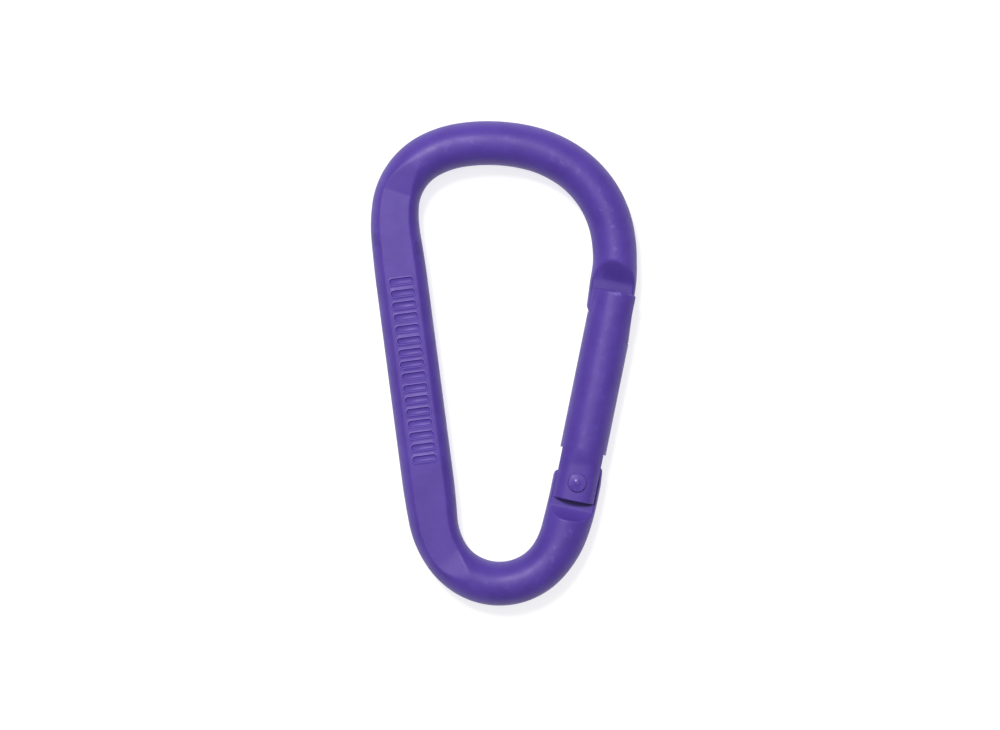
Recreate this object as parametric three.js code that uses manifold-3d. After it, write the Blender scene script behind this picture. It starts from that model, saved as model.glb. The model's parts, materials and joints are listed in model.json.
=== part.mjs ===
// A pear-shaped spring-gate carabiner, bent from round aluminium rod.
//
// It lies flat: X to the right, Y towards the wide end, Z up. The origin is the middle of its
// footprint, on the surface it rests on. Sizes are in millimetres, angles in radians.
import * as THREE from "three";
import { mergeVertices } from "three/addons/utils/BufferGeometryUtils.js";
import Module from "manifold-3d";

const wasm = await Module();
wasm.setup();

const degrees = THREE.MathUtils.degToRad;

// Stock
const ROD_RADIUS = 4.0;
const GATE_RADIUS = 4.2;
const MID_HEIGHT = GATE_RADIUS; // the gate is the thickest piece, and it touches the ground
const CLEARANCE = 0.1; // running gap between pieces

// Hinge and gate line
const HINGE = new THREE.Vector2(13.2, -21.48);
const GATE_LINE = degrees(78.5); // direction from the hinge to the nose
const GATE_BELOW_HINGE = 3.35;
const GATE_ABOVE_HINGE = 35.1;
const HINGE_FLAT = 3.75; // half thickness of the gate where it is spot-faced for the rivet
const HINGE_FLAT_FROM = 6.5; // distance above the hinge where the gate is still round
const HINGE_FLAT_TO = 3.0;

// The rod's centreline, clockwise from the end of its tang
const TANG_LEAD = 5.0; // how far the rod starts above the hinge
const RUNS = [
  { length: 7.0 },
  { radius: 68, turn: degrees(6) },
  { radius: 16.4, turn: degrees(20.5) },
  { radius: 11.5, turn: degrees(108.7) }, // lower bend
  { radius: 15.8, turn: degrees(25.8) },
  { length: 51.3 }, // spine
  { radius: 25.2, turn: degrees(13) },
  { radius: 11.7, turn: degrees(57) }, // shoulder
  { radius: 18.2, turn: degrees(19) },
  { radius: 32.4, turn: degrees(21.4) }, // crown
  { radius: 21.9, turn: degrees(20.8) },
  { radius: 18.8, turn: degrees(46) },
  { radius: 27.1, turn: degrees(18) },
  { length: 12.0 }, // nose tongue
];
const ROD_SIDES = 20;
const ROD_STEPS = 100;

// Pressed stretches of the rod, by distance along the centreline
const SPINE_FLAT = 3.15; // half thickness of the pressed spine
const SPINE_BULGE = 0.7; // how much wider the pressing makes each side
const BLADE = 1.75; // half thickness of the tang and the tongue
const TANG_BULGE = 0.42; // how much wider each side of the tang is
const TONGUE_BULGE = 0.2;
const TANG_SHOULDER = [10.3, 12.4]; // from the blade to the whole rod
const LOWER_PRESS = [34, 42]; // the flats fade in around the lower bend
const UPPER_PRESS = [108.4, 117]; // and rise slowly at the shoulder
const LOWER_BULGE = [38, 56];
const UPPER_BULGE = [92, 116];
const NOSE_SCOOP = [163.8, 168.2]; // from the whole rod to the blade

// Tang top: a flat, then an involute that lifts the plunger evenly as the gate opens
const CAM_HEIGHT = 2.6;
const CAM_LIFT = 1.9; // lift per radian, and the contact line's offset from the gate's axis
const CAM_TURN = 0.56;
const CAM_STEPS = 10;
const CAM_FLAT_END = 2.3; // where the flat stops, towards the outside
const INNER_CORNER = { x: -3.75, y: 0.9, radius: 0.6 };
const OUTER_CORNER = { x: 3.45, y: 2.8, radius: 0.7 };
const OUTER_SIDE = { x: 4.4, y: 0.4 }; // where the outer side is at its widest

// Slots and bore of the gate
const SLOT = 1.95; // half width
const NOSE_SAW_RADIUS = 11;
const NOSE_SAW_UP = 37.3; // saw centre above the hinge
const NOSE_SAW_SIDE = 4.7; // and towards the outside
const TONGUE_GAP = 0.2;
const HINGE_SLOT_DEPTH = 5.2; // above the hinge, at the gate's sides
const HINGE_SAW_RADIUS = 12;
const BORE_RADIUS = 2.2;
const BORE_END = 24;

// Rivet
const RIVET_RADIUS = 1.2;
const RIVET_HEAD_RADIUS = 1.65;
const RIVET_HEAD_HEIGHT = 0.4;
const RIVET_HEAD_EDGE = 0.2; // height of the head's straight edge
const RIVET_SEAT = HINGE_FLAT + 0.02;

// Plunger and spring
const PLUNGER_RADIUS = 2.05;
const PLUNGER_FOOT = CAM_HEIGHT + CLEARANCE;
const PLUNGER_SEAT = 6.8; // the shoulder that the spring presses on
const PLUNGER_TOP = 9.6;
const PLUNGER_STEM_RADIUS = 1.15;
const PLUNGER_CHAMFER = 0.4;
const WIRE_RADIUS = 0.3;
const COIL_RADIUS = 1.75;
const COIL_TURNS = 11;
const COIL_CLOSED_TURNS = 1; // at each end
const COIL_CLOSED_GAP = 0.06;
const COIL_STEPS_PER_TURN = 11;
const COIL_SIDES = 6;

const COAT = { color: 0x604e9f, roughness: 0.45, metalness: 0.3 };
const STEEL = { color: 0xb4b6ba, roughness: 0.3, metalness: 1.0 };
const PLUNGER_STEEL = { color: 0x8f9196, roughness: 0.4, metalness: 1.0 };

// 0 before the first value, 1 after the second, and a smooth rise between them.
function rise(x, [from, to]) {
  return THREE.MathUtils.smoothstep(x, from, to);
}

// A flat path of straight runs and clockwise bends.
class BendPath extends THREE.Curve {
  constructor(start, heading, runs) {
    super();
    this.runs = [];
    this.total = 0;
    for (const { length, radius, turn } of runs) {
      const size = length ?? radius * turn;
      this.runs.push({ start, heading, radius, size, begin: this.total });
      start = this.along(this.runs.at(-1), size);
      heading -= turn ?? 0;
      this.total += size;
    }
  }

  along({ start, heading, radius }, distance) {
    if (!radius) {
      return new THREE.Vector2(Math.cos(heading), Math.sin(heading))
        .multiplyScalar(distance)
        .add(start);
    }
    const now = heading - distance / radius;
    return new THREE.Vector2(
      start.x + radius * (Math.sin(heading) - Math.sin(now)),
      start.y - radius * (Math.cos(heading) - Math.cos(now)),
    );
  }

  getPoint(t, target = new THREE.Vector3()) {
    const distance = t * this.total;
    const run = this.runs.findLast((r) => r.begin <= distance) ?? this.runs[0];
    const { x, y } = this.along(run, distance - run.begin);
    return target.set(x, y, 0);
  }
}

function rodPath() {
  const alongGate = new THREE.Vector2(Math.cos(GATE_LINE), Math.sin(GATE_LINE));
  const start = alongGate.multiplyScalar(TANG_LEAD).add(HINGE);
  return new BendPath(start, GATE_LINE - Math.PI, RUNS);
}

// Booleans

function toSolid(geometry) {
  const bare = geometry.clone();
  bare.deleteAttribute("normal");
  bare.deleteAttribute("uv");
  const merged = mergeVertices(bare, 1e-4);
  return new wasm.Manifold(
    new wasm.Mesh({
      numProp: 3,
      vertProperties: new Float32Array(merged.attributes.position.array),
      triVerts: new Uint32Array(merged.index.array),
    }),
  );
}

function toGeometry(solid) {
  const mesh = solid.getMesh();
  const geometry = new THREE.BufferGeometry();
  geometry.setAttribute("position", new THREE.BufferAttribute(mesh.vertProperties, 3));
  geometry.setIndex(new THREE.BufferAttribute(mesh.triVerts, 1));
  geometry.computeVertexNormals();
  return geometry;
}

// The gate frame has Y along the gate from the hinge, X towards the outside, Z up from mid height.
function inGateFrame(geometry) {
  geometry.rotateZ(GATE_LINE - Math.PI / 2);
  geometry.translate(HINGE.x, HINGE.y, 0);
  return geometry;
}

// A plate of an outline drawn in the gate frame, centred on mid height.
function plate(outline, halfThickness) {
  const geometry = new THREE.ExtrudeGeometry(outline, {
    depth: 2 * halfThickness,
    bevelEnabled: false,
    curveSegments: 20,
  });
  return geometry.translate(0, 0, -halfThickness);
}

// A cylinder standing on the hinge's axis.
function hingePin(radius, halfLength) {
  return new THREE.CylinderGeometry(radius, radius, 2 * halfLength, 24).rotateX(Math.PI / 2);
}

// A round bar along the gate's axis.
function axialBar(radius, from, to, sides, segments = 1) {
  const bar = new THREE.CylinderGeometry(radius, radius, to - from, sides, segments);
  return bar.translate(0, (from + to) / 2, 0);
}

// Frame

function rodHalfThickness(s) {
  const pressed = rise(s, LOWER_PRESS) * (1 - rise(s, UPPER_PRESS));
  const blade = 1 - rise(s, TANG_SHOULDER) + rise(s, NOSE_SCOOP);
  return (
    ROD_RADIUS -
    (ROD_RADIUS - SPINE_FLAT) * pressed -
    (ROD_RADIUS - BLADE) * blade
  );
}

function rodHalfWidth(s) {
  const spine = rise(s, LOWER_BULGE) * (1 - rise(s, UPPER_BULGE));
  const tang = 1 - rise(s, TANG_SHOULDER);
  const tongue = rise(s, NOSE_SCOOP);
  return ROD_RADIUS + SPINE_BULGE * spine + TANG_BULGE * tang + TONGUE_BULGE * tongue;
}

// Flattens and widens the round rod station by station.
function press(geometry, path) {
  const stations = path.getSpacedPoints(ROD_STEPS);
  const position = geometry.attributes.position;
  const vertex = new THREE.Vector3();
  for (let i = 0; i < position.count; i++) {
    vertex.fromBufferAttribute(position, i);
    let nearest = 0;
    stations.forEach((p, k) => {
      const best = stations[nearest];
      const closer = Math.hypot(p.x - vertex.x, p.y - vertex.y)
        < Math.hypot(best.x - vertex.x, best.y - vertex.y);
      if (closer) nearest = k;
    });
    const s = (nearest / ROD_STEPS) * path.total;
    const stretch = rodHalfWidth(s) / ROD_RADIUS;
    const limit = rodHalfThickness(s);
    const { x, y } = stations[nearest];
    position.setXYZ(
      i,
      x + (vertex.x - x) * stretch,
      y + (vertex.y - y) * stretch,
      THREE.MathUtils.clamp(vertex.z, -limit, limit),
    );
  }
  return geometry;
}

// Everything above the tang's cam and its two rounded corners, in the gate frame.
function camWaste() {
  const far = 12;
  const inner = INNER_CORNER;
  const outer = OUTER_CORNER;
  const shape = new THREE.Shape();
  shape.moveTo(far, far);
  shape.lineTo(-far, far);
  shape.lineTo(-far, inner.y);
  shape.absarc(inner.x, inner.y, inner.radius, Math.PI, Math.PI / 2, true);
  for (let k = CAM_STEPS; k >= 0; k--) {
    const turn = (CAM_TURN * k) / CAM_STEPS;
    const lift = CAM_HEIGHT + CAM_LIFT * turn;
    shape.lineTo(
      -(lift * Math.sin(turn) + CAM_LIFT * Math.cos(turn)),
      lift * Math.cos(turn) - CAM_LIFT * Math.sin(turn),
    );
  }
  shape.lineTo(CAM_FLAT_END, CAM_HEIGHT);
  shape.absarc(outer.x, outer.y, outer.radius, Math.PI / 2, 0, true);
  shape.lineTo(OUTER_SIDE.x, OUTER_SIDE.y);
  shape.lineTo(far, OUTER_SIDE.y);
  return inGateFrame(plate(shape, ROD_RADIUS + 1));
}

// Everything below the tongue's rounded heel, which follows the bottom of the gate's slot.
function heelWaste() {
  const radius = NOSE_SAW_RADIUS - TONGUE_GAP;
  const bottom = (x) => NOSE_SAW_UP - Math.sqrt(radius ** 2 - (x - NOSE_SAW_SIDE) ** 2);
  const outside = 7;
  const inside = -5.8;
  const steps = 16;
  const shape = new THREE.Shape();
  shape.moveTo(inside, NOSE_SAW_UP - 2 * radius);
  shape.lineTo(outside, NOSE_SAW_UP - 2 * radius);
  for (let k = 0; k <= steps; k++) {
    const x = outside + ((inside - outside) * k) / steps;
    shape.lineTo(x, bottom(x));
  }
  return inGateFrame(plate(shape, ROD_RADIUS + 1));
}

function frameGeometry() {
  const path = rodPath();
  const section = new THREE.Shape();
  section.absarc(0, 0, ROD_RADIUS, 0, 2 * Math.PI, false);
  const rod = new THREE.ExtrudeGeometry(section, {
    extrudePath: path,
    steps: ROD_STEPS,
    curveSegments: ROD_SIDES / 2, // a full circle has two sides for each
  });
  const rivetHole = inGateFrame(hingePin(RIVET_RADIUS + CLEARANCE, ROD_RADIUS));
  return toGeometry(
    toSolid(press(rod, path))
      .subtract(toSolid(camWaste()))
      .subtract(toSolid(heelWaste()))
      .subtract(toSolid(rivetHole)),
  );
}

// Gate

// Spot-faces both sides of the gate's lower end.
function spotFace(geometry) {
  const position = geometry.attributes.position;
  for (let i = 0; i < position.count; i++) {
    const round = rise(position.getY(i), [HINGE_FLAT_TO, HINGE_FLAT_FROM]);
    const limit = HINGE_FLAT + (GATE_RADIUS - HINGE_FLAT) * round;
    position.setZ(i, THREE.MathUtils.clamp(position.getZ(i), -limit, limit));
  }
  return geometry;
}

function noseSlot() {
  const disc = new THREE.Shape();
  disc.absarc(NOSE_SAW_SIDE, NOSE_SAW_UP, NOSE_SAW_RADIUS, 0, 2 * Math.PI, false);
  return plate(disc, SLOT);
}

function hingeSlot() {
  const side = GATE_RADIUS + 1;
  const sawHeight = HINGE_SLOT_DEPTH - Math.sqrt(HINGE_SAW_RADIUS ** 2 - side ** 2);
  const steps = 8;
  const shape = new THREE.Shape();
  shape.moveTo(-side, -GATE_BELOW_HINGE - 1);
  shape.lineTo(side, -GATE_BELOW_HINGE - 1);
  for (let k = 0; k <= steps; k++) {
    const x = side - (2 * side * k) / steps;
    shape.lineTo(x, sawHeight + Math.sqrt(HINGE_SAW_RADIUS ** 2 - x ** 2));
  }
  return plate(shape, SLOT);
}

function gateGeometry() {
  const lower = axialBar(GATE_RADIUS, -GATE_BELOW_HINGE, HINGE_FLAT_FROM + 1, 32, 12);
  const upper = axialBar(GATE_RADIUS, HINGE_FLAT_FROM + 0.5, GATE_ABOVE_HINGE, 32);
  const bore = axialBar(BORE_RADIUS, -GATE_BELOW_HINGE - 1, BORE_END, 20);
  return toGeometry(
    toSolid(spotFace(lower))
      .add(toSolid(upper))
      .subtract(toSolid(noseSlot()))
      .subtract(toSolid(hingeSlot()))
      .subtract(toSolid(bore))
      .subtract(toSolid(hingePin(RIVET_RADIUS + CLEARANCE, GATE_RADIUS + 1))),
  );
}

// Small pieces, each drawn on its own axis

// The shank with a low domed head at each end.
function rivetGeometry() {
  const half = [[RIVET_RADIUS, RIVET_SEAT]];
  const steps = 4;
  for (let k = 0; k <= steps; k++) {
    const turn = (k / steps) * (Math.PI / 2);
    const dome = (RIVET_HEAD_HEIGHT - RIVET_HEAD_EDGE) * Math.sin(turn);
    if (k === 0) half.push([RIVET_HEAD_RADIUS, RIVET_SEAT]);
    half.push([RIVET_HEAD_RADIUS * Math.cos(turn), RIVET_SEAT + RIVET_HEAD_EDGE + dome]);
  }
  half.at(-1)[0] = 0;
  const mirrored = half.toReversed().map(([r, z]) => [r, -z]);
  const profile = [...mirrored, ...half].map(([r, z]) => new THREE.Vector2(r, z));
  return new THREE.LatheGeometry(profile, 24).rotateX(Math.PI / 2);
}

// The foot that rides on the tang, the shoulder and the stem that guides the spring.
function plungerGeometry() {
  const profile = [
    [0, PLUNGER_FOOT],
    [PLUNGER_RADIUS, PLUNGER_FOOT],
    [PLUNGER_RADIUS, PLUNGER_SEAT],
    [PLUNGER_STEM_RADIUS, PLUNGER_SEAT],
    [PLUNGER_STEM_RADIUS, PLUNGER_TOP - PLUNGER_CHAMFER],
    [PLUNGER_STEM_RADIUS - PLUNGER_CHAMFER, PLUNGER_TOP],
    [0, PLUNGER_TOP],
  ];
  return new THREE.LatheGeometry(profile.map(([r, y]) => new THREE.Vector2(r, y)), 24);
}

// A compression coil along Y, with one closed turn at each end.
class CoilPath extends THREE.Curve {
  getPoint(t, target = new THREE.Vector3()) {
    const low = PLUNGER_SEAT + CLEARANCE + WIRE_RADIUS;
    const high = BORE_END - CLEARANCE - WIRE_RADIUS;
    const closed = 2 * WIRE_RADIUS + COIL_CLOSED_GAP; // rise of a closed turn
    const turns = t * COIL_TURNS;
    const open = THREE.MathUtils.clamp(
      (turns - COIL_CLOSED_TURNS) / (COIL_TURNS - 2 * COIL_CLOSED_TURNS),
      0,
      1,
    );
    const endTurns = turns - open * (COIL_TURNS - 2 * COIL_CLOSED_TURNS);
    const openRise = high - low - 2 * COIL_CLOSED_TURNS * closed;
    const angle = turns * 2 * Math.PI;
    return target.set(
      COIL_RADIUS * Math.cos(angle),
      low + endTurns * closed + open * openRise,
      COIL_RADIUS * Math.sin(angle),
    );
  }
}

function springGeometry() {
  const wire = new THREE.Shape();
  wire.absarc(0, 0, WIRE_RADIUS, 0, 2 * Math.PI, false);
  return new THREE.ExtrudeGeometry(wire, {
    extrudePath: new CoilPath(),
    steps: COIL_TURNS * COIL_STEPS_PER_TURN,
    curveSegments: COIL_SIDES / 2,
  });
}

// Assembly

function namedMesh(name, geometry, finish) {
  const mesh = new THREE.Mesh(geometry, new THREE.MeshStandardMaterial(finish));
  mesh.name = name;
  return mesh;
}

// The gate and what it carries, placed by the gate's own frame.
function gateAssembly() {
  const assembly = new THREE.Group();
  assembly.add(namedMesh("gate", gateGeometry(), COAT));
  assembly.add(namedMesh("hinge_rivet", rivetGeometry(), COAT));
  assembly.add(namedMesh("gate_spring", springGeometry(), STEEL));
  assembly.add(namedMesh("spring_plunger", plungerGeometry(), PLUNGER_STEEL));
  assembly.position.set(HINGE.x, HINGE.y, 0);
  assembly.rotation.z = GATE_LINE - Math.PI / 2;
  return assembly;
}

const carabiner = new THREE.Group();
carabiner.add(namedMesh("frame", frameGeometry(), COAT));
carabiner.add(gateAssembly());
carabiner.position.z = MID_HEIGHT;

export default carabiner;
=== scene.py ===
import json
import math

import bmesh
import bpy
import numpy as np
from mathutils import Matrix, Vector


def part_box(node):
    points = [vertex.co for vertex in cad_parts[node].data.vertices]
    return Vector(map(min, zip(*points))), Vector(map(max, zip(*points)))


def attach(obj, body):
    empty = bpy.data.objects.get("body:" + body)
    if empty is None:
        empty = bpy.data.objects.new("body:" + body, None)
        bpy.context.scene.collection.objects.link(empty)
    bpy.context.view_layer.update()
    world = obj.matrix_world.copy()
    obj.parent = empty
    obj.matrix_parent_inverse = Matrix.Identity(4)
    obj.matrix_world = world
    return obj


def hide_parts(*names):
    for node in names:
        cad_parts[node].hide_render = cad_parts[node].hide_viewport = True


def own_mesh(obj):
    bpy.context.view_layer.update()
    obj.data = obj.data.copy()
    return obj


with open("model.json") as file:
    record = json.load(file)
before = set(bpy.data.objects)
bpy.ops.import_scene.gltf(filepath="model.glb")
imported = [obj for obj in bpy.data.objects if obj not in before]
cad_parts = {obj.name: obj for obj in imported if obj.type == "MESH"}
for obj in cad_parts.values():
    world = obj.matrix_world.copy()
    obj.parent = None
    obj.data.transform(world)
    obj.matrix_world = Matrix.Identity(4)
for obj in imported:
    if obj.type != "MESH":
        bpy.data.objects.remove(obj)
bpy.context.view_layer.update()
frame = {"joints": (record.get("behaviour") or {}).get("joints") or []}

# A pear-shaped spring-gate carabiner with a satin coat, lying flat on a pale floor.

MM = 0.001

# ---------------------------------------------------------------- driving sizes, in millimetres

JOINTS = {joint["name"]: joint for joint in frame["joints"]}
HINGE = np.array(JOINTS["gate_hinge"]["pos_m"][:2]) / MM
MID_HEIGHT = JOINTS["gate_hinge"]["pos_m"][2] / MM
SLIDE = JOINTS["plunger_slide"]["axis"]
GATE_LINE = math.atan2(SLIDE[1], SLIDE[0])
ALONG = np.array([math.cos(GATE_LINE), math.sin(GATE_LINE)])  # up the gate
OUTSIDE = np.array([ALONG[1], -ALONG[0]])  # away from the eye

GATE_BOX = [np.array(corner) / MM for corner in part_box("gate")]
FRAME_BOX = [np.array(corner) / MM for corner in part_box("frame")]
GATE_RADIUS = (GATE_BOX[1][2] - GATE_BOX[0][2]) / 2
ROD_RADIUS = (FRAME_BOX[1][2] - FRAME_BOX[0][2]) / 2

# The rod's centreline, clockwise from the end of its tang: (length, None) or (radius, turn)
TANG_LEAD = 5.0
RUNS = [
    (7.0, None),
    (68, 6),
    (16.4, 20.5),
    (11.5, 108.7),  # lower bend
    (15.8, 25.8),
    (51.3, None),  # spine
    (25.2, 13),
    (11.7, 57),  # shoulder
    (18.2, 19),
    (32.4, 21.4),  # crown
    (21.9, 20.8),
    (18.8, 46),
    (27.1, 18),
    (12.0, None),  # nose tongue
]

# Pressed stretches of the rod
SPINE_FLAT = 3.15
SPINE_BULGE = 0.7
LOWER_PRESS = (34, 42)
UPPER_PRESS = (108.4, 117)
LOWER_BULGE = (38, 56)
UPPER_BULGE = (92, 116)
TANG_SHOULDER = (10, 22)
NOSE_SHOULDER = (163.4, 168.2)
BLADE = 1.75
TANG_BULGE = 0.42  # how much wider each side of the tang is
TONGUE_BULGE = 0.2
TANG_SLOPE = (-4.8, -7.0)  # heights on the gate line where the blade ends and the rod is whole
NOSE_SLOPE = (36.8, 40.4)
NOSE_SCOOP_RADIUS = 8.0  # both slopes are hollow
TANG_SCOOP_RADIUS = 4.0
TANG_END = 30  # distance along the centreline before which the tang's shape holds
NOSE_START = 150  # and after which the nose's shape holds
SPINE_EDGE = 0.12  # fillets where a press has met the round rod
BLADE_EDGE = 0.3
END_ROUND = 0.22
SKIN = 0.016  # the rod stays this far inside its nominal outline

# The rod's skin: points around it, and steps along it
ROD_SIDES = 128
COARSE_STEP = 0.45
FINE_STEP = 0.14
FIRST_STATION = 8.0
LAST_STATION = 16  # before the end
FINE_STRETCHES = ((0, 16), (106, 111), (160, 200))

# Tang top
CAM_HEIGHT = 2.6
CAM_LIFT = 1.9
CAM_TURN = 0.56
CAM_FLAT_END = 2.3
INNER_CORNER = (-3.75, 0.9, 0.6)  # outside, height, radius
OUTER_CORNER = (3.45, 2.8, 0.7)
OUTER_SIDE = (4.4, 0.4)  # where the outer side is at its widest

# Gate
GATE_BELOW = 3.35
GATE_ABOVE = 35.1
SPOT_FACE = 3.75
SPOT_FACE_BLEND = 0.7
SPOT_FACE_FROM = 6.5
SPOT_FACE_TO = 3.0
SLOT = 1.95
NOSE_SAW = (4.7, 37.3, 11.0)  # outside, height, radius
TONGUE_GAP = 0.04
HINGE_SLOT_DEPTH = 5.5
BORE_RADIUS = 2.2
BORE_END = 24.0

# Rivet, plunger and spring
RIVET_RADIUS = 1.2
RIVET_GAP = 0.1
RIVET_HEAD_RADIUS = 1.65
HEAD_SEAT_DEPTH = 0.3
HEAD_RISE = 0.2  # above the gate's spot face
HEAD_SEAT_GAP = 0.15  # around the head
HEAD_SEAT_SHIFT = (0.07, -0.15)  # the seat was cut a little off centre
NIPPLE_RADIUS = 0.65
NIPPLE_DOME = 2.1  # radius of its dome
PLUNGER_RADIUS = 2.05
PLUNGER_FOOT = CAM_HEIGHT + 0.1
PLUNGER_SEAT = 6.8
PLUNGER_TOP = 9.6
PLUNGER_STEM = 1.15
WIRE_RADIUS = 0.3
COIL_RADIUS = 1.75
COIL_TURNS = 11

# Colours
COAT_DEEP = (0.086, 0.045, 0.330, 1)
COAT_PALE = (0.108, 0.061, 0.400, 1)
# scuffed coat on the crests, also used as a painted highlight on the groove lips
COAT_SCUFF_AND_HIGHLIGHT = (0.20, 0.145, 0.56, 1)
WIRE_GREY = (0.46, 0.47, 0.49, 1)
PLUNGER_GREY = (0.27, 0.28, 0.30, 1)
COAT_SHINE = (0.92, 0.80, 1, 1)
COAT_IOR = 1.42
# worn coat, lightened further as a painted glint on the gate's upper rim
COAT_WORN_AND_GLINT = (0.21, 0.15, 0.57, 1)
# painted shade: the dark colour laid on the blade where the gate's shadow falls, and on the nose's
# ledge and hollow
COAT_PAINTED_SHADE = (0.016, 0.004, 0.145, 1)

CREST = (3.72, 3.95)  # heights from the middle over which the scuffs come in

# Painted shade on the frame, where the closed gate's shadow falls on the blade and where the nose
# lies in shade, in mm on the gate line from the hinge: none, full, full, none
PAINTED_SHADE_BELOW = (-4.5, -4.2, -3.4, -3.2)
PAINTED_SHADE_BELOW_SIDES = (-3.9, -2.7, 4.0, 4.2)
PAINTED_SHADE_BOW = 0.065  # per mm, how the band below the gate bows up away from its middle
PAINTED_SHADE_BESIDE = (3.0, 3.4, 3.86, 4.1)
PAINTED_SHADE_BESIDE_ENDS = (-3.7, -3.3, 0.8, 2.4)
PAINTED_SHADE_LEDGE = (34.2, 34.8, 36.7, 37.0)
PAINTED_SHADE_HOLLOW = (36.7, 37.0, 38.0, 39.6)
PAINTED_SHADE_HOLLOW_SIDES = (-3.3, -2.3, 3.0, 3.6)
# how strongly shade is painted on the nose's ledge and in its hollow
LEDGE_PAINTED_SHADE = 0.3
HOLLOW_PAINTED_SHADE = 0.3

# Wear and a painted glint on the rim of the gate's upper end, in the same way
WEAR_AND_GLINT_RIM = (34.3, 34.75, 35.3, 35.4)
WEAR_AND_GLINT_RIM_SIDES = (-0.6, 0.0, 0.7, 1.4)

# Light, as radiance with a fully lit white floor near 1, and the lamps' places in metres
KEY_RADIANCE = 48.0
OVERHEAD_RADIANCE = 1.7
WORLD_RADIANCE = 0.16
FLOOR_GLOW = 0.74
FLOOR_TONES = (0.42, 0.42, 0.42, 1), (0.44, 0.44, 0.44, 1)
KEY_PLACE = (-0.20, 0.38, 0.84)
KEY_SIZE = 0.23
OVERHEAD_PLACE = (0.0, 0.06, 0.9)
OVERHEAD_SIZE = 0.62

# Camera, in metres
VIEW_WIDTH = 0.1812  # at the height of the rod's axis
VIEW_CENTRE = (-0.0007, -0.0003)

# Grip grooves across the spine's upper flat
GROOVE_COUNT = 16
GROOVE_FIRST = 60.0  # distance along the centreline
GROOVE_PITCH = 2.15
GROOVE_LENGTH = 4.4
GROOVE_WIDTH = 1.15
GROOVE_DEPTH = 0.22
GROOVE_LIP = 0.15


# ---------------------------------------------------------------- shape helpers


def rise(x, span):
    """0 at the first value, 1 at the second, with a smooth rise between them."""
    t = np.clip((x - span[0]) / (span[1] - span[0]), 0, 1)
    return t * t * (3 - 2 * t)


def ramp(x, span):
    """0 at the first value, 1 at the second, and straight between them."""
    return np.clip((x - span[0]) / (span[1] - span[0]), 0, 1)


def soft_min(a, b, k):
    """The lower of a and b, with a fillet about k wide where they cross."""
    h = np.clip(0.5 + 0.5 * (b - a) / k, 0, 1)
    return b + (a - b) * h - k * h * (1 - h)


def on_gate_line(xy):
    """Points of the row frame as (outside, height) on the gate line, from the hinge."""
    offset = xy - HINGE
    return offset @ OUTSIDE, offset @ ALONG


def gate_matrix():
    """From the gate's own frame (X outside, Y up the gate, Z up, in mm) to the row frame."""
    turn = Matrix.Rotation(GATE_LINE - math.pi / 2, 4, "Z")
    place = Matrix.Translation(Vector((HINGE[0], HINGE[1], MID_HEIGHT)))
    return Matrix.Scale(MM, 4) @ place @ turn


def new_object(name, verts, faces, matrix=None):
    mesh = bpy.data.meshes.new(name)
    mesh.from_pydata([tuple(v) for v in verts], [], faces)
    if matrix:
        mesh.transform(matrix)
    mesh.validate()
    obj = bpy.data.objects.new(name, mesh)
    bpy.context.scene.collection.objects.link(obj)
    return obj


def apply_modifiers(obj):
    """Turns the object's modifiers into its mesh."""
    bpy.context.view_layer.update()
    graph = bpy.context.evaluated_depsgraph_get()
    mesh = bpy.data.meshes.new_from_object(obj.evaluated_get(graph))
    obj.modifiers.clear()
    obj.data = mesh


def cut(obj, *cutters, operation="DIFFERENCE"):
    """Takes each cutter out of obj, or adds it, and removes the cutter."""
    for cutter in cutters:
        modifier = obj.modifiers.new("cut", "BOOLEAN")
        modifier.operation = operation
        modifier.solver = "EXACT"
        modifier.object = cutter
        apply_modifiers(obj)
        bpy.data.objects.remove(cutter)


def smooth(obj, angle=30):
    obj.data.polygons.foreach_set("use_smooth", [True] * len(obj.data.polygons))
    obj.data.set_sharp_from_angle(angle=math.radians(angle))


def lathe(profile, sides):
    """Vertices and faces of a closed profile of (radius, height) turned about Y."""
    verts = []
    rings = []
    for radius, height in profile:
        if radius < 1e-6:
            rings.append([len(verts)] * sides)
            verts.append((0, height, 0))
            continue
        rings.append(list(range(len(verts), len(verts) + sides)))
        for k in range(sides):
            turn = 2 * math.pi * k / sides
            verts.append((radius * math.sin(turn), height, radius * math.cos(turn)))
    faces = []
    for low, high in zip(rings, rings[1:]):
        for k in range(sides):
            n = (k + 1) % sides
            corners = list(dict.fromkeys([low[k], low[n], high[n], high[k]]))
            if len(corners) > 2:
                faces.append(corners)
    return verts, faces


def extruded(outline, low, high):
    """A closed outline of (x, y) points, counterclockwise, between two heights."""
    n = len(outline)
    verts = [(x, y, low) for x, y in outline] + [(x, y, high) for x, y in outline]
    faces = [list(range(n))[::-1], list(range(n, 2 * n))]
    faces += [[k, (k + 1) % n, (k + 1) % n + n, k + n] for k in range(n)]
    return verts, faces


# ---------------------------------------------------------------- the rod


class BendPath:
    """A flat path of straight runs and clockwise bends."""

    def __init__(self):
        self.runs = []
        at = HINGE + TANG_LEAD * ALONG
        heading = GATE_LINE - math.pi
        begin = 0.0
        for size, turn in RUNS:
            radius = size if turn else None
            length = size * math.radians(turn) if turn else size
            self.runs.append((begin, at, heading, radius))
            begin += length
            at, heading = self._walk(at, heading, radius, length)
        self.length = begin

    @staticmethod
    def _walk(at, heading, radius, distance):
        if radius is None:
            step = np.stack([np.cos(heading) * distance, np.sin(heading) * distance], -1)
            return at + step, heading + 0 * distance
        now = heading - distance / radius
        step = np.stack([np.sin(heading) - np.sin(now), np.cos(now) - np.cos(heading)], -1)
        return at + radius * step, now

    def at(self, s):
        """Points and outward directions at the distances s."""
        points = np.zeros(s.shape + (2,))
        headings = np.zeros(s.shape)
        for begin, at, heading, radius in self.runs:
            here = s >= begin
            points[here], headings[here] = self._walk(at, heading, radius, s[here] - begin)
        outward = np.stack([-np.sin(headings), np.cos(headings)], -1)
        return points, outward


PATH = BendPath()


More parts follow.
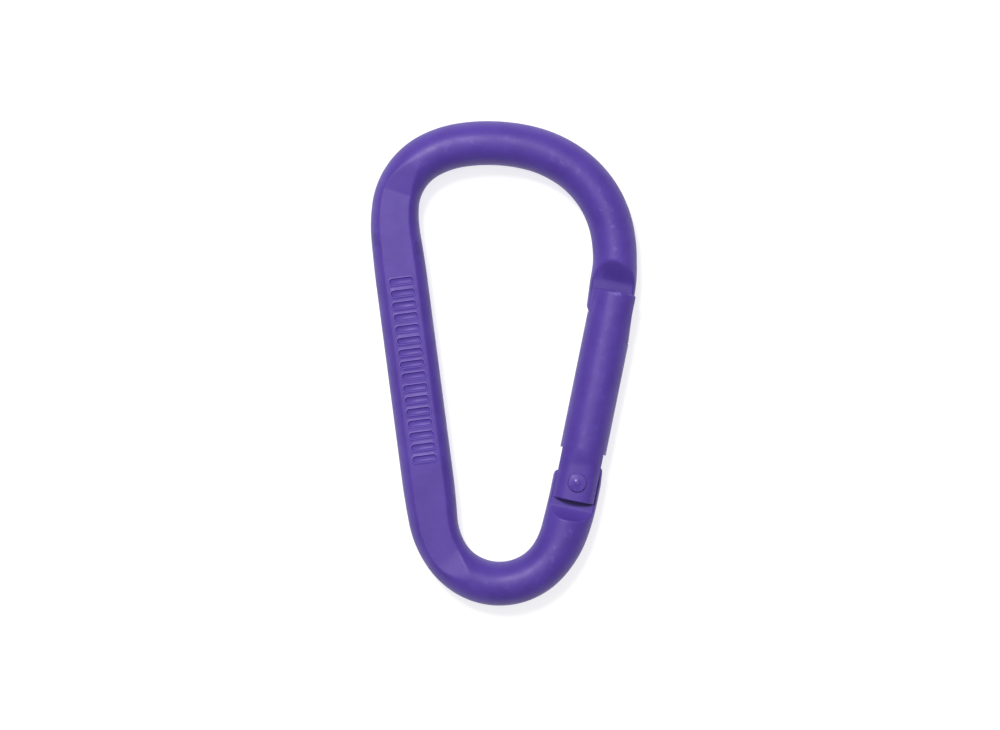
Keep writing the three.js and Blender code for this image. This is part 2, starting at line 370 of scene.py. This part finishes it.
def half_width(s):
    """Half of the rod's width, wider where a press has spread it."""
    spine = rise(s, LOWER_BULGE) * (1 - rise(s, UPPER_BULGE))
    tang = 1 - rise(s, TANG_SHOULDER)
    tongue = rise(s, NOSE_SHOULDER)
    return ROD_RADIUS + SPINE_BULGE * spine + TANG_BULGE * tang + TONGUE_BULGE * tongue


def hollow_slope(x, span, levels, radius):
    """A circular hollow from the first level to the second and on past it, level before it."""
    start = np.array([span[0], levels[0]])
    chord = np.array([span[1], levels[1]]) - start
    length = math.hypot(*chord)
    normal = np.array([-chord[1], chord[0]]) / length
    centre = start + chord / 2 + normal * math.sqrt(radius**2 - (length / 2) ** 2)
    along = np.clip(x, span[0], centre[0] + radius) - centre[0]
    return centre[1] - np.sqrt(radius**2 - along**2)


def half_thickness(s, xy):
    """Half of the rod's thickness where a press or cutter has met it."""
    pressed = rise(s, LOWER_PRESS) * (1 - ramp(s, UPPER_PRESS))
    clear = ROD_RADIUS + 0.3  # a press this far out doesn't touch the rod
    limit = clear - (clear - SPINE_FLAT) * pressed
    _, height = on_gate_line(xy)
    levels = (BLADE, ROD_RADIUS)
    nose = hollow_slope(height, NOSE_SLOPE, levels, NOSE_SCOOP_RADIUS)
    tang = hollow_slope(-height, (-TANG_SLOPE[0], -TANG_SLOPE[1]), levels, TANG_SCOOP_RADIUS)
    limit = np.where(s > NOSE_START, np.minimum(limit, nose), limit)
    return np.where(s < TANG_END, np.minimum(limit, tang), limit)


def tang_top(x):
    """Height of the tang's top at x outside the gate line: corner, cam, flat, corner."""
    turn = np.linspace(CAM_TURN, 0, 60)
    lift = CAM_HEIGHT + CAM_LIFT * turn
    cam_x = -(lift * np.sin(turn) + CAM_LIFT * np.cos(turn))
    cam_y = lift * np.cos(turn) - CAM_LIFT * np.sin(turn)
    quarter = np.linspace(0, math.pi / 2, 16)
    x_in, y_in, r_in = INNER_CORNER
    x_out, y_out, r_out = OUTER_CORNER
    xs = [[-9, -4.5], x_in - r_in * np.cos(quarter), cam_x, [CAM_FLAT_END]]
    ys = [[y_in - 0.2, y_in - 0.1], y_in + r_in * np.sin(quarter), cam_y, [CAM_HEIGHT]]
    xs += [x_out + r_out * np.sin(quarter), [OUTER_SIDE[0], 9]]
    ys += [y_out + r_out * np.cos(quarter), [OUTER_SIDE[1], OUTER_SIDE[1]]]
    return np.interp(x, np.concatenate(xs), np.concatenate(ys))


def heel_bottom(x):
    """Height of the tongue's rounded end at x outside the gate line."""
    outside, height, radius = NOSE_SAW
    return height - np.sqrt((radius - TONGUE_GAP) ** 2 - (x - outside) ** 2)


def tongue_end(lateral):
    """Distance along the centreline where the tongue ends, at each lateral offset."""
    s = np.full(lateral.shape, PATH.length - 4)
    for _ in range(12):
        points, outward = PATH.at(s)
        x, height = on_gate_line(points + outward * lateral[:, None])
        s = s + (height - heel_bottom(x))
    return s


def rod_ring(s, turns, shrink=0.0):
    """One ring of the rod's skin. s is a number, or one distance for each point of the ring."""
    s = np.broadcast_to(np.asarray(s, float), turns.shape).copy()
    centres, outward = PATH.at(s)
    lateral = (half_width(s) - SKIN - shrink) * np.cos(turns)
    xy = centres + outward * lateral[:, None]
    limit = half_thickness(s, xy) - shrink
    full = (ROD_RADIUS - shrink) * np.sin(turns)
    edge = np.where((s < TANG_END) | (s > NOSE_START), BLADE_EDGE, SPINE_EDGE)
    z = np.sign(full) * soft_min(np.abs(full), limit, edge)
    return np.column_stack([xy, MID_HEIGHT + z])


def rod_stations():
    """Distances along the rod, closer together where its shape changes quickly."""
    stations = []
    s = FIRST_STATION
    while s < PATH.length - LAST_STATION:
        stations.append(s)
        fine = any(low < s < high for low, high in FINE_STRETCHES)
        s += FINE_STEP if fine else COARSE_STEP
    return stations


def rod_mesh():
    """The rod's skin as one closed mesh, with a rounded rim at each end."""
    sides = ROD_SIDES
    turns = 2 * np.pi * (np.arange(sides) + 0.5) / sides
    stations = rod_stations()
    round_turns = np.linspace(0, math.pi / 2, 5)
    start = TANG_LEAD - tang_top((ROD_RADIUS + TANG_BULGE) * np.cos(turns))
    finish = tongue_end((ROD_RADIUS + TONGUE_BULGE) * np.cos(turns))
    rings = []
    for turn in round_turns:
        shrink = END_ROUND * (1 - math.sin(turn))
        rings.append(rod_ring(start + END_ROUND * (1 - math.cos(turn)), turns, shrink))
    for t in np.linspace(0, 1, 14)[1:]:
        rings.append(rod_ring(start + END_ROUND + t * (stations[0] - start - END_ROUND), turns))
    rings += [rod_ring(s, turns) for s in stations[1:]]
    for t in np.linspace(0, 1, 40)[1:]:
        rings.append(rod_ring(stations[-1] + t * (finish - END_ROUND - stations[-1]), turns))
    for turn in round_turns[::-1][1:]:
        shrink = END_ROUND * (1 - math.sin(turn))
        rings.append(rod_ring(finish - END_ROUND * (1 - math.cos(turn)), turns, shrink))
    verts = np.vstack(rings) * MM
    faces = []
    for r in range(len(rings) - 1):
        for k in range(sides):
            n = (k + 1) % sides
            a, b = r * sides, (r + 1) * sides
            faces.append([a + k, b + k, b + n, a + n])
    last = (len(rings) - 1) * sides
    for k in range(sides // 2 - 1):
        mirror, next_mirror = sides - 1 - k, sides - 2 - k
        faces.append([k, k + 1, next_mirror, mirror])
        faces.append([last + mirror, last + next_mirror, last + k + 1, last + k])
    return verts, faces


def stadium(half, radius, steps=14):
    """The outline of a slot with round ends, counterclockwise."""
    outline = []
    for end in (1, -1):
        for k in range(steps + 1):
            turn = math.pi * (k / steps - 0.5) + (0 if end == 1 else math.pi)
            outline.append((end * half + radius * math.cos(turn), radius * math.sin(turn)))
    return outline


def across_spine(s, levels):
    """A stadium across the rod at distance s, from a list of (height above the flat, radius)."""
    centre, outward = (v[0] for v in PATH.at(np.array([s])))
    half = (GROOVE_LENGTH - GROOVE_WIDTH) / 2
    base = MID_HEIGHT + SPINE_FLAT
    verts = []
    for height, radius in levels:
        verts += [(x, y, base + height) for x, y in stadium(half, radius)]
    n = len(verts) // len(levels)
    last = n * (len(levels) - 1)
    faces = [list(range(n))[::-1], list(range(last, last + n))]
    for level in range(0, last, n):
        faces += [
            [level + k, level + (k + 1) % n, level + n + (k + 1) % n, level + n + k]
            for k in range(n)
        ]
    place = Matrix.Translation(Vector((centre[0], centre[1], 0)))
    turn = Matrix.Rotation(math.atan2(outward[1], outward[0]), 4, "Z")
    return new_object("across_spine", verts, faces, Matrix.Scale(MM, 4) @ place @ turn)


def groove_lip(s):
    """The low rounded ridge pushed up around a groove."""
    radius = GROOVE_WIDTH / 2 + GROOVE_LIP
    levels = [(-0.3, radius + 0.06), (0.0, radius + 0.06), (0.045, radius), (0.06, radius - 0.08)]
    return across_spine(s, levels)


def groove_cutter(s):
    radius = GROOVE_WIDTH / 2
    depth = GROOVE_DEPTH
    levels = [(-depth, radius - 0.16), (-depth + 0.06, radius - 0.08), (0.02, radius),
              (0.2, radius + 0.12)]
    return across_spine(s, levels)


def joined(objects):
    """One object of several that don't touch."""
    mesh = bmesh.new()
    for obj in objects:
        mesh.from_mesh(obj.data)
    whole = objects[0]
    mesh.to_mesh(whole.data)
    mesh.free()
    for obj in objects[1:]:
        bpy.data.objects.remove(obj)
    return whole


def hinge_pin(radius, half_length, sides=48):
    """A cylinder on the hinge's axis, in the gate's frame."""
    profile = [(0, -half_length), (radius, -half_length), (radius, half_length), (0, half_length)]
    verts, faces = lathe(profile, sides)
    upright = gate_matrix() @ Matrix.Rotation(math.pi / 2, 4, "X")
    return new_object("hinge_pin", verts, faces, upright)


def make_frame():
    obj = new_object("frame_rod", *rod_mesh())
    places = [GROOVE_FIRST + k * GROOVE_PITCH for k in range(GROOVE_COUNT)]
    cut(obj, joined([groove_lip(s) for s in places]), operation="UNION")
    cut(obj, joined([groove_cutter(s) for s in places]))
    cut(obj, hinge_pin(RIVET_RADIUS + RIVET_GAP, ROD_RADIUS))
    smooth(obj, 38)
    return obj


# ---------------------------------------------------------------- the gate


def gate_bar():
    """The round bar with rounded ends, softly flattened around the rivet."""
    fillet = 0.4
    sides = 72
    profile = [(0, -GATE_BELOW)]
    for k in range(6):
        turn = math.pi / 2 * k / 5
        rounding = fillet * 0.5
        profile.append((
            GATE_RADIUS - rounding * (1 - math.sin(turn)),
            -GATE_BELOW + rounding * (1 - math.cos(turn)),
        ))
    profile += [(GATE_RADIUS, h) for h in np.linspace(-GATE_BELOW + 0.4, 8.0, 36)]
    profile += [(GATE_RADIUS, h) for h in np.linspace(9.0, GATE_ABOVE - 1.0, 12)]
    for k in range(8):
        turn = math.pi / 2 * k / 7
        profile.append((
            GATE_RADIUS - fillet * (1 - math.cos(turn)),
            GATE_ABOVE - fillet * (1 - math.sin(turn)),
        ))
    profile.append((0, GATE_ABOVE))
    verts, faces = lathe(profile, sides)
    verts = np.array(verts)
    height = verts[:, 1]
    rounded = rise(height, (SPOT_FACE_TO, SPOT_FACE_FROM))
    limit = SPOT_FACE + (GATE_RADIUS + 0.4 - SPOT_FACE) * rounded
    verts[:, 2] = np.sign(verts[:, 2]) * soft_min(np.abs(verts[:, 2]), limit, SPOT_FACE_BLEND)
    return new_object("gate_bar", verts, faces, gate_matrix())


def nose_slot():
    outside, height, radius = NOSE_SAW
    steps = 160
    outline = [
        (outside + radius * math.cos(2 * math.pi * k / steps),
         height + radius * math.sin(2 * math.pi * k / steps))
        for k in range(steps)
    ]
    return new_object("nose_slot", *extruded(outline, -SLOT, SLOT), gate_matrix())


def hinge_slot():
    side = GATE_RADIUS + 1
    outline = [(-side, -GATE_BELOW - 1), (side, -GATE_BELOW - 1)]
    for k in range(25):
        x = side * (1 - k / 12)
        outline.append((x, HINGE_SLOT_DEPTH + 0.6 * (1 - (x / side) ** 2)))
    return new_object("hinge_slot", *extruded(outline, -SLOT, SLOT), gate_matrix())


def gate_bore():
    tip = BORE_END + 0.9
    foot = -GATE_BELOW - 1
    profile = [(0, foot), (BORE_RADIUS, foot), (BORE_RADIUS, BORE_END), (0, tip)]
    return new_object("gate_bore", *lathe(profile, 48), gate_matrix())


def make_gate():
    obj = gate_bar()
    cut(obj, nose_slot(), hinge_slot(), gate_bore(), hinge_pin(RIVET_RADIUS + RIVET_GAP, 6))
    cut(obj, head_recess(1), head_recess(-1))
    bevel = obj.modifiers.new("edges", "BEVEL")
    bevel.width = 0.1 * MM
    bevel.segments = 3
    bevel.limit_method = "ANGLE"
    bevel.angle_limit = math.radians(35)
    weighted = obj.modifiers.new("normals", "WEIGHTED_NORMAL")
    weighted.weight = 50
    obj.data.polygons.foreach_set("use_smooth", [True] * len(obj.data.polygons))
    apply_modifiers(obj)
    return obj


# ---------------------------------------------------------------- small pieces


def head_recess(side):
    """The shallow seat around a rivet head, a little off centre, on one side of the gate."""
    seat = SPOT_FACE - HEAD_SEAT_DEPTH
    radius = RIVET_HEAD_RADIUS + HEAD_SEAT_GAP
    verts, faces = lathe([(0, seat), (radius, seat), (radius, 6), (0, 6)], 64)
    shift = Matrix.Translation(Vector((*HEAD_SEAT_SHIFT, 0)))
    upright = gate_matrix() @ shift @ Matrix.Rotation(side * math.pi / 2, 4, "X")
    return new_object("head_recess", verts, faces, upright)


def make_rivet():
    """A shank with a low head at each end, each with a small nipple left by the forming tool."""
    seat = SPOT_FACE - HEAD_SEAT_DEPTH + 0.01
    top = SPOT_FACE + HEAD_RISE
    head = [
        (RIVET_RADIUS, seat),
        (RIVET_HEAD_RADIUS, seat),
        (RIVET_HEAD_RADIUS, top - 0.06),
        (RIVET_HEAD_RADIUS - 0.03, top - 0.02),
        (RIVET_HEAD_RADIUS - 0.10, top),
    ]
    steps = 12
    edge = math.asin(NIPPLE_RADIUS / NIPPLE_DOME)
    for k in range(steps + 1):
        turn = edge * (1 - k / steps)
        height = NIPPLE_DOME * (math.cos(turn) - math.cos(edge))
        head.append((NIPPLE_DOME * math.sin(turn), top + height))
    profile = [(r, -z) for r, z in reversed(head)] + head
    verts, faces = lathe(profile, 64)
    upright = gate_matrix() @ Matrix.Rotation(math.pi / 2, 4, "X")
    obj = new_object("rivet", verts, faces, upright)
    smooth(obj, 40)
    return obj


def make_plunger():
    r, stem = PLUNGER_RADIUS, PLUNGER_STEM
    profile = [
        (0, PLUNGER_FOOT),
        (r - 0.25, PLUNGER_FOOT),
        (r - 0.07, PLUNGER_FOOT + 0.07),
        (r, PLUNGER_FOOT + 0.25),
        (r, PLUNGER_SEAT - 0.1),
        (r - 0.1, PLUNGER_SEAT),
        (stem + 0.1, PLUNGER_SEAT),
        (stem, PLUNGER_SEAT + 0.1),
        (stem, PLUNGER_TOP - 0.4),
        (stem - 0.12, PLUNGER_TOP - 0.12),
        (stem - 0.4, PLUNGER_TOP),
        (0, PLUNGER_TOP),
    ]
    obj = new_object("plunger", *lathe(profile, 48), gate_matrix())
    smooth(obj, 40)
    return obj


def coil_point(turns):
    """A point of the coil's wire centreline after so many turns."""
    low = PLUNGER_SEAT + 0.1 + WIRE_RADIUS
    high = BORE_END - 0.1 - WIRE_RADIUS
    closed = 2 * WIRE_RADIUS + 0.06
    share = min(max((turns - 1) / (COIL_TURNS - 2), 0), 1)
    height = low + (turns - share * (COIL_TURNS - 2)) * closed
    height += share * (high - low - 2 * closed)
    turn = 2 * math.pi * turns
    return Vector((COIL_RADIUS * math.cos(turn), height, COIL_RADIUS * math.sin(turn)))


def make_spring():
    sides, per_turn = 12, 28
    steps = COIL_TURNS * per_turn
    verts = []
    for k in range(steps + 1):
        turns = k / per_turn
        centre = coil_point(turns)
        ahead = (coil_point(min(turns + 0.01, COIL_TURNS)) - coil_point(max(turns - 0.01, 0)))
        radial = Vector((centre.x, 0, centre.z)).normalized()
        across = ahead.normalized().cross(radial).normalized()
        for j in range(sides):
            turn = 2 * math.pi * j / sides
            verts.append(centre + WIRE_RADIUS * (math.cos(turn) * radial + math.sin(turn) * across))
    faces = [list(range(sides)), list(range(steps * sides, (steps + 1) * sides))[::-1]]
    for k in range(steps):
        for j in range(sides):
            n = (j + 1) % sides
            a, b = k * sides, (k + 1) * sides
            faces.append([a + j, b + j, b + n, a + n])
    obj = new_object("spring", verts, faces, gate_matrix())
    smooth(obj, 50)
    return obj


def face_outwards(obj):
    mesh = bmesh.new()
    mesh.from_mesh(obj.data)
    bmesh.ops.recalc_face_normals(mesh, faces=mesh.faces)
    mesh.to_mesh(obj.data)
    mesh.free()


# ---------------------------------------------------------------- materials


class Nodes:
    """A short way to lay out a material's nodes."""

    def __init__(self, name):
        self.material = bpy.data.materials.new(name)
        self.material.use_nodes = True
        self.tree = self.material.node_tree
        self.shader = self.tree.nodes["Principled BSDF"]
        self.coords = self.tree.nodes.new("ShaderNodeTexCoord").outputs["Object"]

    def add(self, kind, **inputs):
        node = self.tree.nodes.new("ShaderNode" + kind)
        for key, value in inputs.items():
            self.set(node.inputs[key.replace("_", " ")], value)
        return node

    def set(self, socket, value):
        if isinstance(value, bpy.types.NodeSocket):
            self.tree.links.new(value, socket)
        else:
            socket.default_value = value

    def noise(self, size_mm, detail=2.0, roughness=0.5):
        node = self.add("TexNoise", Vector=self.coords, Scale=1 / (size_mm * MM))
        node.inputs["Detail"].default_value = detail
        node.inputs["Roughness"].default_value = roughness
        return node.outputs["Fac"]

    def map(self, value, low, high, to_low, to_high):
        node = self.add("MapRange", Value=value)
        for key, number in (
            ("From Min", low), ("From Max", high), ("To Min", to_low), ("To Max", to_high),
        ):
            node.inputs[key].default_value = number
        return node.outputs["Result"]

    def mix(self, factor, a, b):
        node = self.tree.nodes.new("ShaderNodeMix")
        node.data_type = "RGBA"
        self.set(node.inputs["Factor"], factor)
        self.set(node.inputs["A"], a)
        self.set(node.inputs["B"], b)
        return node.outputs["Result"]

    def math(self, operation, a, b):
        node = self.tree.nodes.new("ShaderNodeMath")
        node.operation = operation
        self.set(node.inputs[0], a)
        self.set(node.inputs[1], b)
        return node.outputs[0]

    def dot(self, direction):
        """How far a point lies along a flat direction."""
        node = self.add("VectorMath")
        node.operation = "DOT_PRODUCT"
        self.set(node.inputs[0], self.coords)
        self.set(node.inputs[1], (direction[0], direction[1], 0))
        return node.outputs["Value"]

    def bump(self, height, distance_mm, strength=1.0, normal=None):
        node = self.add("Bump", Height=height)
        node.inputs["Distance"].default_value = distance_mm * MM
        node.inputs["Strength"].default_value = strength
        if normal:
            self.set(node.inputs["Normal"], normal)
        return node.outputs["Normal"]


def lip_wear_and_highlight_mask(m, height):
    """1 on the level tops of the groove lips, where the coat is rubbed thin and where a painted
    highlight lightens their edges.
    """
    normal = m.tree.nodes.new("ShaderNodeNewGeometry").outputs["Normal"]
    up = m.add("SeparateXYZ", Vector=normal).outputs["Z"]
    level = m.map(up, 0.90, 0.94, 0, 1)
    above = m.map(height, (SPINE_FLAT + 0.02) * MM, (SPINE_FLAT + 0.04) * MM, 0, 1)
    below = m.map(height, (SPINE_FLAT + 0.07) * MM, (SPINE_FLAT + 0.09) * MM, 1, 0)
    last = GROOVE_FIRST + (GROOVE_COUNT - 1) * GROOVE_PITCH
    ends = PATH.at(np.array([GROOVE_FIRST - GROOVE_PITCH, last + GROOVE_PITCH]))[0][:, 1]
    y = m.add("SeparateXYZ", Vector=m.coords).outputs["Y"]
    after = m.map(y, ends[0] * MM, (ends[0] + 1) * MM, 0, 1)
    before = m.map(y, (ends[1] - 1) * MM, ends[1] * MM, 1, 0)
    mask = m.math("MULTIPLY", level, m.math("MULTIPLY", above, below))
    return m.math("MULTIPLY", mask, m.math("MULTIPLY", after, before))


def band(m, value, levels):
    """0, 1, 1 and 0 at the four levels (mm) of a value (metres), and straight between them."""
    low_out, low_in, high_in, high_out = (level * MM for level in levels)
    rising = m.map(value, low_out, low_in, 0, 1)
    return m.math("MULTIPLY", rising, m.map(value, high_in, high_out, 1, 0))


def gate_line_places(m):
    """How far up the gate line a point lies, and how far outside it, from the hinge."""
    along = m.math("SUBTRACT", m.dot(ALONG), float(HINGE @ ALONG) * MM)
    outside = m.math("SUBTRACT", m.dot(OUTSIDE), float(HINGE @ OUTSIDE) * MM)
    return along, outside


def painted_shade_mask(m, height):
    """Painted shade: a darker colour on the blade below and outside the closed gate, where its
    shadow falls, and on the nose's ledge and in its hollow, which lie in shade.
    """
    along, outside = gate_line_places(m)
    bow = m.math("MULTIPLY", m.math("MULTIPLY", outside, outside), PAINTED_SHADE_BOW / MM)
    bowed = m.math("SUBTRACT", along, bow)
    below = m.math("MULTIPLY", band(m, bowed, PAINTED_SHADE_BELOW), band(m, outside, PAINTED_SHADE_BELOW_SIDES))
    beside = m.math("MULTIPLY", band(m, along, PAINTED_SHADE_BESIDE_ENDS), band(m, outside, PAINTED_SHADE_BESIDE))
    ledge = m.math("MULTIPLY", band(m, along, PAINTED_SHADE_LEDGE), LEDGE_PAINTED_SHADE)
    hollow = m.math("MULTIPLY", band(m, along, PAINTED_SHADE_HOLLOW), band(m, outside, PAINTED_SHADE_HOLLOW_SIDES))
    hollow = m.math("MULTIPLY", hollow, HOLLOW_PAINTED_SHADE)
    on_blade = m.map(height, 2.5 * MM, 3.0 * MM, 1, 0)
    mask = m.math("MAXIMUM", m.math("MAXIMUM", below, beside), ledge)
    return m.math("MAXIMUM", m.math("MULTIPLY", mask, on_blade), hollow)


def end_wear_and_glint_mask(m, height):
    """The upper rim of the gate's end, lightened in a broken line: partly wear where it rubs,
    partly a painted glint.
    """
    along, outside = gate_line_places(m)
    rim = m.math("MULTIPLY", band(m, along, WEAR_AND_GLINT_RIM), band(m, outside, WEAR_AND_GLINT_RIM_SIDES))
    broken = m.map(m.noise(1.1, 4, 0.6), 0.44, 0.56, 0, 1)
    upper = m.map(height, 3.0 * MM, 3.4 * MM, 0, 1)
    return m.math("MULTIPLY", m.math("MULTIPLY", rim, broken), upper)


def coat_material(name, roughness=0.40, scuffs=0.6, marks=None, marks_colour=COAT_PAINTED_SHADE):
    """Satin coloured coat on metal: soft mottling, orange peel, and faint scuffs on the crests."""
    m = Nodes(name)
    mottle = m.map(m.noise(5, 4, 0.6), 0.32, 0.68, 0, 1)
    colour = m.mix(mottle, COAT_DEEP, COAT_PALE)
    speck = m.map(m.noise(0.4, 2), 0.3, 0.7, 0, 0.35)
    colour = m.mix(speck, colour, COAT_DEEP)
    z = m.add("SeparateXYZ", Vector=m.coords).outputs["Z"]
    height = m.math("ABSOLUTE", m.math("SUBTRACT", z, MID_HEIGHT * MM), 0.0)
    crest = m.map(height, CREST[0] * MM, CREST[1] * MM, 0, 1)
    scuff = m.map(m.noise(1.6, 8, 0.75), 0.53, 0.70, 0, scuffs)
    colour = m.mix(m.math("MULTIPLY", scuff, crest), colour, COAT_SCUFF_AND_HIGHLIGHT)
    # groove lips lightened: rubbed coat and a painted highlight
    colour = m.mix(m.math("MULTIPLY", lip_wear_and_highlight_mask(m, height), 0.8), colour, COAT_SCUFF_AND_HIGHLIGHT)
    # each given mark mixes in its colour: painted shade on the frame, wear and a painted glint on
    # the gate
    if marks:
        colour = m.mix(marks(m, height), colour, marks_colour)
    m.set(m.shader.inputs["Base Color"], colour)
    uneven = m.map(m.noise(2.2, 3), 0.3, 0.7, roughness, roughness + 0.1)
    m.set(m.shader.inputs["Roughness"], uneven)
    m.shader.inputs["Metallic"].default_value = 0.0
    m.shader.inputs["IOR"].default_value = COAT_IOR
    m.shader.inputs["Specular Tint"].default_value = COAT_SHINE
    peel = m.bump(m.noise(0.55, 2), 0.012, 0.6)
    grain = m.bump(m.noise(0.12, 2), 0.004, 0.5, peel)
    m.set(m.shader.inputs["Normal"], grain)
    return m.material


def steel_material(name, colour, roughness, streak_mm):
    """Bare drawn steel with fine marks."""
    m = Nodes(name)
    marks = m.noise(streak_mm, 4, 0.6)
    tone = m.map(marks, 0.3, 0.7, 0, 1)
    darker = tuple(0.8 * c for c in colour[:3]) + (1,)
    m.set(m.shader.inputs["Base Color"], m.mix(tone, colour, darker))
    m.set(m.shader.inputs["Roughness"], m.map(marks, 0.3, 0.7, roughness, roughness + 0.15))
    m.shader.inputs["Metallic"].default_value = 1.0
    m.set(m.shader.inputs["Normal"], m.bump(marks, 0.003, 0.4))
    return m.material


def floor_material():
    """A white light table: it glows a little, so shadows on it stay faint."""
    m = Nodes("floor")
    tone = m.map(m.noise(60, 2), 0.3, 0.7, 0, 1)
    m.set(m.shader.inputs["Base Color"], m.mix(tone, *FLOOR_TONES))
    m.shader.inputs["Emission Color"].default_value = (1, 1, 1, 1)
    m.shader.inputs["Emission Strength"].default_value = FLOOR_GLOW
    m.shader.inputs["Roughness"].default_value = 0.9
    m.shader.inputs["Specular IOR Level"].default_value = 0.1
    return m.material


# ---------------------------------------------------------------- stage


def make_floor():
    half = 3.0
    corners = [(-half, -half, 0), (half, -half, 0), (half, half, 0), (-half, half, 0)]
    obj = new_object("floor", corners, [[0, 1, 2, 3]])
    obj.data.materials.append(floor_material())


def aimed(obj, place, aim=(0, 0, 0)):
    obj.location = place
    obj.rotation_euler = (Vector(aim) - Vector(place)).to_track_quat("-Z", "Y").to_euler()
    bpy.context.scene.collection.objects.link(obj)


def area_light(name, place, size, radiance):
    """A round panel facing the part. A mirror would show the radiance, where floor white is 1."""
    light = bpy.data.lights.new(name, "AREA")
    light.shape = "DISK"
    light.size = size
    light.energy = radiance * math.pi**2 * size**2 / 4
    aimed(bpy.data.objects.new(name, light), place)


def make_lights():
    area_light("key", KEY_PLACE, KEY_SIZE, KEY_RADIANCE)
    area_light("overhead", OVERHEAD_PLACE, OVERHEAD_SIZE, OVERHEAD_RADIANCE)
    world = bpy.data.worlds.new("studio")
    world.use_nodes = True
    background = world.node_tree.nodes["Background"]
    background.inputs["Color"].default_value = (1, 1, 1, 1)
    background.inputs["Strength"].default_value = WORLD_RADIANCE
    bpy.context.scene.world = world


def make_camera():
    """Straight above the part, far enough for VIEW_WIDTH to fill the frame's width."""
    camera = bpy.data.cameras.new("camera")
    camera.lens = 100
    camera.sensor_width = 36
    camera.clip_start = 0.01
    distance = VIEW_WIDTH * camera.lens / camera.sensor_width
    obj = bpy.data.objects.new("camera", camera)
    obj.location = (*VIEW_CENTRE, MID_HEIGHT * MM + distance)
    bpy.context.scene.collection.objects.link(obj)
    bpy.context.scene.camera = obj


# ---------------------------------------------------------------- assembly


def finish_piece(obj, body, node, material):
    face_outwards(obj)
    obj.data.materials.clear()
    obj.data.materials.append(material)
    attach(obj, body)
    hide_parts(node)
    return obj


def build():
    # the frame's coat gets shade painted below and beside the gate and at the nose
    frame_coat = coat_material("frame_coat", marks=painted_shade_mask)
    finish_piece(make_frame(), "frame", "frame", frame_coat)
    # the gate's coat gets wear and a painted glint on the upper rim of its end
    gate_coat = coat_material("gate_coat", scuffs=0.3, marks=end_wear_and_glint_mask, marks_colour=COAT_WORN_AND_GLINT)
    finish_piece(make_gate(), "gate", "gate", gate_coat)
    rivet_coat = coat_material("rivet_coat", roughness=0.2)
    finish_piece(make_rivet(), "gate", "hinge_rivet", rivet_coat)
    wire = steel_material("wire", WIRE_GREY, roughness=0.25, streak_mm=0.4)
    spring = finish_piece(make_spring(), "gate", "gate_spring", wire)
    plunger_steel = steel_material("plunger_steel", PLUNGER_GREY, roughness=0.35, streak_mm=0.6)
    finish_piece(make_plunger(), "plunger", "spring_plunger", plunger_steel)
    squash_spring(spring)


def squash_spring(spring):
    """Gives the coil a mesh of its own, at its full length."""
    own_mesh(spring)


make_camera()
make_floor()
make_lights()
build()
bpy.context.scene.view_settings.view_transform = "Standard"
